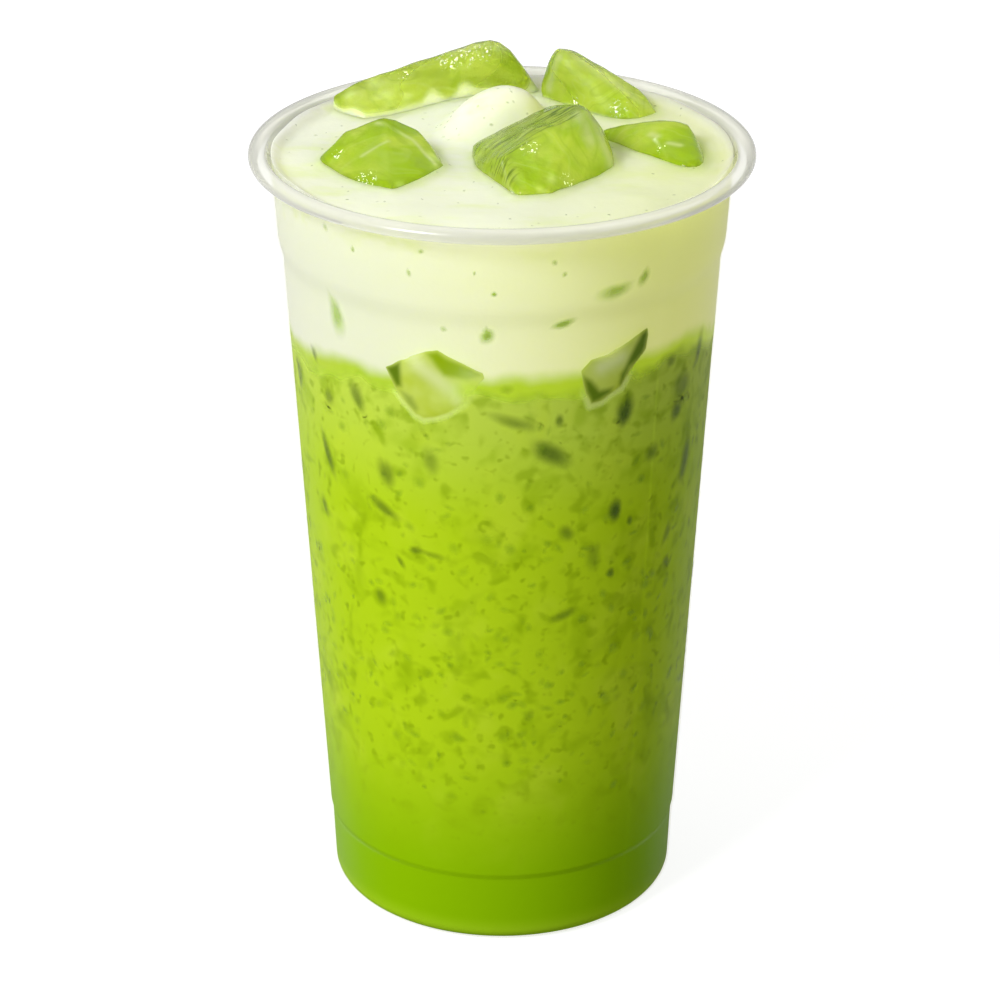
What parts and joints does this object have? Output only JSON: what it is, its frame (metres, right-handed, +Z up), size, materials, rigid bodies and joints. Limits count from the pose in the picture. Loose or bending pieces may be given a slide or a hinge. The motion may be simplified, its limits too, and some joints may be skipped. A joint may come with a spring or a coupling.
{
  "type": "iced matcha latte in a clear takeaway cup",
  "caption": "Clear tapered takeaway cup of iced matcha latte: green drink, a thick milk foam layer on top and rounded ice pieces standing out of the foam.",
  "frame": {"origin": "centre of the cup's foot, on the surface it stands on", "axes": "+Z up along the cup's axis, -Y towards the viewer of the picture, +X to the viewer's right"},
  "size_m": [0.095, 0.095, 0.1637],
  "materials": {
    "clear_plastic": "clear, slightly milky polypropylene, glossy",
    "matcha_latte": "opaque milky green drink",
    "milk_foam": "soft matte foam with fine bubbles",
    "green_ice": "wet ice, cloudy and tinted green",
    "foamed_ice": "ice under a coat of foam"
  },
  "bodies": {
    "root": {"cup": "clear_plastic", "matcha_latte": "matcha_latte", "milk_foam": "milk_foam", "ice_back_bar": "green_ice", "ice_back_wedge": "green_ice", "ice_front_left": "green_ice", "ice_front_block": "green_ice", "ice_right": "green_ice", "foam_capped_ice": "foamed_ice"}
  },
  "joints": []
}
